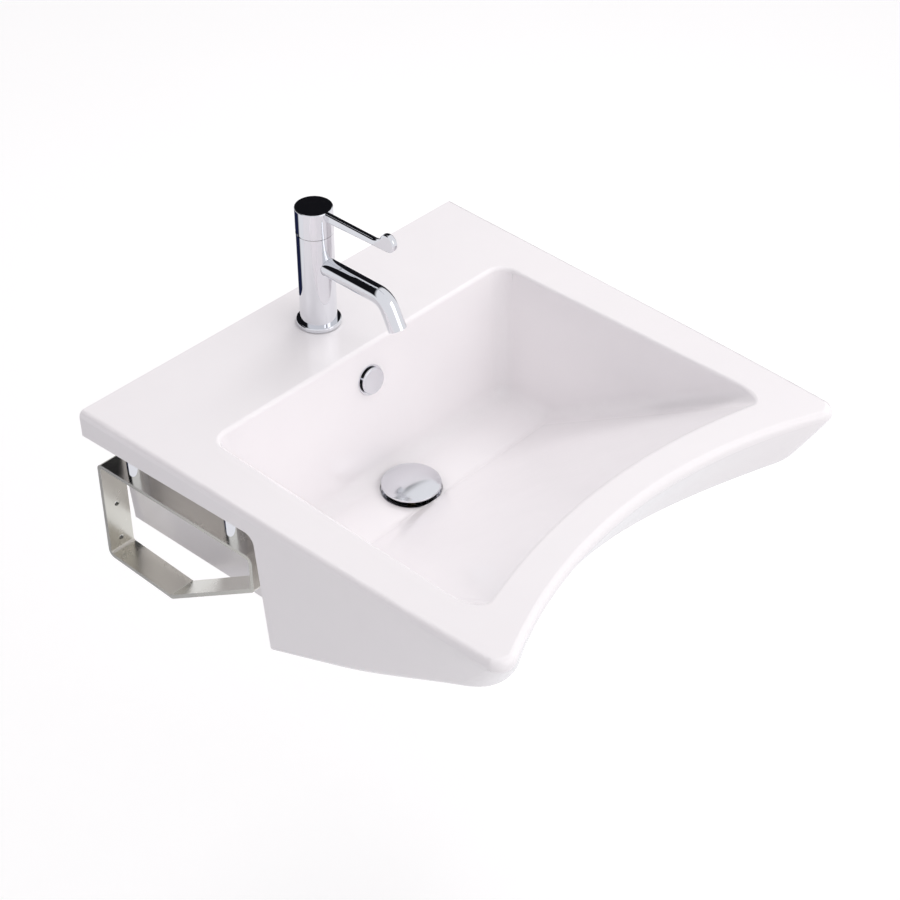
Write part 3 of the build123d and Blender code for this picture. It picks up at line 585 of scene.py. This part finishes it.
def nut_grid(name, segments=96):
    """A chamfered nut with an upright axis.

    Its edge lies where a cone of height (r - r0) tan 30 degrees meets a hexagon.
    """
    low, high = (np.array(corner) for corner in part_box(name))
    middle = (low + high) / 2
    apothem = (high[1] - low[1]) / 2
    height = high[2] - low[2]
    points = node_points(name)
    bore = np.linalg.norm((points - middle)[:, :2], axis=1).min()
    turn = full_turn(segments)
    flat = hexagon(turn, apothem)
    start = NUT_CHAMFER_START * apothem
    chamfer = (flat - start) * np.tan(NUT_CHAMFER_ANGLE)
    inner = NUT_BORE_CHAMFER * height
    profile = (
        (bore + inner, 0), (start, 0), (flat, chamfer), (flat, height - chamfer),
        (start, height), (bore + inner, height), (bore, height - inner), (bore, inner),
    )
    ones = np.ones(segments)
    radius = np.stack([away * ones for away, level in profile])
    level = np.stack([level * ones for away, level in profile])
    return turned(radius, turn, level) + np.array((middle[0], middle[1], low[2]))


def mesh_disc_grid(points, rings=36, segments=96):
    """The outlet's fine grid, along the solid's own axis: a disc waved by cos(k x) cos(k y)."""
    middle, axis = main_axis(points, 0)
    axis = axis * -np.sign(axis[2])
    along, away = along_axis(points, middle, axis)
    face = np.linspace(*GRID_REACH, rings)[:, None] * away.max()
    turn = full_turn(segments)
    count = 2 * np.pi / GRID_PITCH
    wave = np.cos(count * face * np.cos(turn)) * np.cos(count * face * np.sin(turn))
    top = along.max() - GRID_WAVE * (1 + wave)
    radius = np.concatenate((face * np.ones(segments), away.max() * np.ones((2, segments))))
    ends = np.array(((along.max() - GRID_EDGE_DROP,), (along.min(),))) * np.ones(segments)
    height = np.concatenate((top, ends))
    return place_rows(turned(radius, turn, height), middle, axis)


def dress(names, material):
    """Gives the nodes a finish in place of their packed one."""
    for name in names:
        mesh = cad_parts[name].data
        mesh.materials.clear()
        mesh.materials.append(material)


class BASIN_OT_ceramic(bpy.types.Operator):
    """Glaze the ceramic"""

    bl_idname = "basin.ceramic"
    bl_label = "Glaze the ceramic"

    def execute(self, context):
        dress(CERAMIC_NODES, glaze_finish(context.scene.basin_colours))
        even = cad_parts["basin_body"].modifiers.new("even_shading", "WEIGHTED_NORMAL")
        even.keep_sharp = True
        return {"FINISHED"}


class BASIN_OT_chrome(bpy.types.Operator):
    """Plate the tap, the plug, the overflow and the bracket posts"""

    bl_idname = "basin.chrome"
    bl_label = "Plate the tap, plug and overflow"

    def execute(self, context):
        chrome = context.scene.basin_colours.chrome
        dress(CHROME_NODES, metal_finish("chrome_plate", chrome, CHROME_ROUGHNESS, CHROME_SCALE)[0])
        dress(SOFT_CHROME_NODES, metal_finish(
            "soft_chrome", chrome, SOFT_CHROME_ROUGHNESS, SOFT_CHROME_SCALE)[0])
        return {"FINISHED"}


class BASIN_OT_brackets(bpy.types.Operator):
    """Polish the two wall brackets"""

    bl_idname = "basin.brackets"
    bl_label = "Polish the brackets"

    def execute(self, context):
        dress(BRACKET_NODES, bracket_finish(context.scene.basin_colours))
        return {"FINISHED"}


class BASIN_OT_waste(bpy.types.Operator):
    """Finish the waste tail with its thread"""

    bl_idname = "basin.waste"
    bl_label = "Finish the waste"

    def execute(self, context):
        sizes = context.scene.basin_sizes
        colours = context.scene.basin_colours
        low, high = (np.array(corner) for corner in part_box("waste_body"))
        middle = (low + high) / 2
        centre = (middle[0], middle[1], low[2])
        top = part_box("waste_lower_seal")[1][2] - low[2]
        tail = threaded_finish(
            "threaded_chrome", colours.chrome, centre, sizes.thread_pitch, top, TAIL_ROUGHNESS)
        dress(("waste_body",), tail)
        return {"FINISHED"}


class BASIN_OT_fixings(bpy.types.Operator):
    """Finish screws, nuts, the stud and the brass pieces"""

    bl_idname = "basin.fixings"
    bl_label = "Finish the fixings"

    def execute(self, context):
        sizes = context.scene.basin_sizes
        colours = context.scene.basin_colours
        plain = metal_finish(
            "plain_steel", colours.plain_steel, STEEL_ROUGHNESS, FIXING_SCALE)[0]
        brass = metal_finish("bare_brass", colours.brass, BRASS_ROUGHNESS, FIXING_SCALE)[0]
        dress(PLAIN_STEEL_NODES, plain)
        dress(BRASS_NODES, brass)
        for side in ("left", "right"):
            node = "post_screws_" + side
            grids = [screw_grid(points) for points in split_along_y(node_points(node))]
            add_piece("socket_screws_" + side, grids, False, plain, "basin", node)
        waste_nut = [nut_grid("waste_backnut")]
        add_piece("waste_nut_chamfered", waste_nut, True, brass, "basin", "waste_backnut")
        tap_nut = [nut_grid("tap_fixing_nut")]
        add_piece("tap_nut_chamfered", tap_nut, True, plain, "basin", "tap_fixing_nut")
        low, high = (np.array(corner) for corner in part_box("tap_stud"))
        centre = ((low[0] + high[0]) / 2, (low[1] + high[1]) / 2, low[2])
        height = high[2] - low[2]
        stud = threaded_finish(
            "threaded_steel", colours.plain_steel, centre, sizes.stud_pitch, height,
            STUD_ROUGHNESS)
        dress(("tap_stud",), stud)
        return {"FINISHED"}


class BASIN_OT_soft_pieces(bpy.types.Operator):
    """Finish the rubber seals and the plastic pieces"""

    bl_idname = "basin.soft_pieces"
    bl_label = "Finish rubber and plastic"

    def execute(self, context):
        colours = context.scene.basin_colours
        rubber = soft_finish("black_rubber", colours.rubber, RUBBER_ROUGHNESS, RUBBER_GRAIN)
        dress(RUBBER_NODES, rubber)
        plastic = soft_finish("moulded_plastic", colours.plastic, PLASTIC_ROUGHNESS, PLASTIC_GRAIN)
        dress(PLASTIC_NODES, plastic)
        grid = mesh_disc_grid(node_points("aerator_insert"))
        add_piece("outlet_grid", [grid], False, plastic, "basin", "aerator_insert")
        return {"FINISHED"}


def add_lamp(name, place, target, size, power):
    """A square soft lamp at a place, turned to a target."""
    light = bpy.data.lights.new(name, "AREA")
    light.size = size
    light.energy = power
    lamp = bpy.data.objects.new(name, light)
    bpy.context.scene.collection.objects.link(lamp)
    lamp.location = place
    aim = Vector(place) - Vector(target)
    lamp.rotation_euler = aim.to_track_quat("Z", "Y").to_euler()
    return lamp


def toward(tree, place, direction, start, end):
    """A mask that grows from 0 to 1 as a direction turns towards a given one."""
    node = add_node(tree, "ShaderNodeVectorMath", operation="DOT_PRODUCT", links=[(place, 0)])
    node.inputs[1].default_value = Vector(direction).normalized()
    return stretch(tree, node.outputs["Value"], start, end)


def background(tree, colour, strength):
    """A world shader of a colour that other nodes put out."""
    return add_node(tree, "ShaderNodeBackground", in_Strength=strength, links=[(colour, "Color")])


def set_world(scene):
    """A pale room, brightest to the front right; shiny pieces show it with its dark places."""
    world = bpy.data.worlds.new("pale_room")
    scene.world = world
    world.use_nodes = True
    tree = world.node_tree
    tree.nodes.clear()
    place = add_node(tree, "ShaderNodeTexCoord").outputs["Generated"]
    rays = add_node(tree, "ShaderNodeLightPath")
    bright = toward(tree, place, BRIGHT_SIDE, -1.0, 1.0)
    fill = background(tree, blend_colours(tree, bright, *FILL_COLOURS), FILL_STRENGTH)
    ceiling = toward(tree, place, UP, *CEILING_FADE)
    far_side = toward(tree, place, WALL_SIDE, *WALL_SIDE_FADE)
    dark = add_node(tree, "ShaderNodeMath", operation="MULTIPLY", links=[
        (ceiling, 0), (far_side, 1)])
    room = blend_colours(tree, dark.outputs[0], ROOM_COLOUR, CEILING_COLOUR)
    for direction, fade, colour in ROOM_SPOTS:
        room = blend_over(tree, toward(tree, place, direction, *fade), room, colour)
    shine = background(tree, room, 1.0)
    plain = add_node(tree, "ShaderNodeBackground", in_Color=WHITE)
    lit = add_node(tree, "ShaderNodeMixShader", links=[
        (rays.outputs["Is Glossy Ray"], 0), (fill.outputs[0], 1), (shine.outputs[0], 2)])
    seen = add_node(tree, "ShaderNodeMixShader", links=[
        (rays.outputs["Is Camera Ray"], 0), (lit.outputs[0], 1), (plain.outputs[0], 2)])
    add_node(tree, "ShaderNodeOutputWorld", links=[(seen.outputs[0], "Surface")])


def floor_finish(colours):
    """A pale matt floor with a faint grain; the camera sees it glow a little, so it is white."""
    material, tree, shader, place = new_material("plain_floor", Roughness=FLOOR_ROUGHNESS)
    mask = patches_on(tree, place, *FLOOR_SCALES)
    grain = blend_colours(tree, mask, shaded(colours.floor, FLOOR_SHADE), colours.floor)
    tree.links.new(grain, shader.inputs["Base Color"])
    rays = add_node(tree, "ShaderNodeLightPath")
    glow = add_node(tree, "ShaderNodeMath", operation="MULTIPLY", links=[
        (rays.outputs["Is Camera Ray"], 0)])
    glow.inputs[1].default_value = FLOOR_GLOW
    light = add_node(tree, "ShaderNodeEmission", links=[(glow.outputs[0], "Strength")])
    both = add_node(tree, "ShaderNodeAddShader", links=[
        (shader.outputs[0], 0), (light.outputs[0], 1)])
    tree.links.new(both.outputs[0], tree.nodes["Material Output"].inputs["Surface"])
    return material


class BASIN_OT_stage(bpy.types.Operator):
    """Set the floor, the lamps, the world and the camera"""

    bl_idname = "basin.stage"
    bl_label = "Set the stage"

    def execute(self, context):
        scene = context.scene
        sizes = scene.basin_sizes
        half = sizes.floor_size / 2
        drop = -sizes.floor_drop
        corners = [
            (-half, -half, drop), (half, -half, drop), (half, half, drop), (-half, half, drop),
        ]
        mesh = bpy.data.meshes.new("floor")
        mesh.from_pydata(corners, [], [(0, 1, 2, 3)])
        floor = bpy.data.objects.new("floor", mesh)
        scene.collection.objects.link(floor)
        mesh.materials.append(floor_finish(scene.basin_colours))
        floor.visible_glossy = False
        lamps = {name: add_lamp(name, *values) for name, values in LAMPS.items()}
        lamps["key_lamp"].visible_glossy = False
        lamps["bowl_lamp"].visible_glossy = False
        lamps["bowl_lamp"].data.spread = BOWL_LAMP_SPREAD
        set_world(scene)
        camera = bpy.data.cameras.new("photo_camera")
        camera.lens = LENS
        camera.sensor_width = SENSOR_WIDTH
        camera.clip_end = CLIP_END
        viewer = bpy.data.objects.new("photo_camera", camera)
        viewer.location = CAMERA_PLACE
        viewer.rotation_euler = (
            radians(90 - CAMERA_DOWN), radians(CAMERA_ROLL), radians(CAMERA_TURN))
        scene.collection.objects.link(viewer)
        scene.camera = viewer
        scene.view_settings.view_transform = "Standard"
        return {"FINISHED"}


class BASIN_PT_panel(bpy.types.Panel):
    """The basin's sizes, colours and steps"""

    bl_label = "Basin"
    bl_idname = "BASIN_PT_panel"
    bl_space_type = "VIEW_3D"
    bl_region_type = "UI"
    bl_category = "Basin"

    def draw(self, context):
        layout = self.layout
        for group in (context.scene.basin_sizes, context.scene.basin_colours):
            for name in group.__annotations__:
                layout.prop(group, name)
        for step in STEPS:
            layout.operator(step.bl_idname)


STEPS = (
    BASIN_OT_ceramic,
    BASIN_OT_chrome,
    BASIN_OT_brackets,
    BASIN_OT_waste,
    BASIN_OT_fixings,
    BASIN_OT_soft_pieces,
    BASIN_OT_stage,
)
CLASSES = (BasinSizes, BasinColours) + STEPS + (BASIN_PT_panel,)


def register():
    """Adds the classes and their settings to Blender."""
    for item in CLASSES:
        bpy.utils.register_class(item)
    bpy.types.Scene.basin_sizes = bpy.props.PointerProperty(type=BasinSizes)
    bpy.types.Scene.basin_colours = bpy.props.PointerProperty(type=BasinColours)


def unregister():
    """Takes the classes and their settings out again."""
    del bpy.types.Scene.basin_colours
    del bpy.types.Scene.basin_sizes
    for item in reversed(CLASSES):
        bpy.utils.unregister_class(item)


def main():
    """Runs every step in order."""
    register()
    for step in STEPS:
        group, name = step.bl_idname.split(".")
        getattr(getattr(bpy.ops, group), name)()


if __name__ == "__main__":
    main()
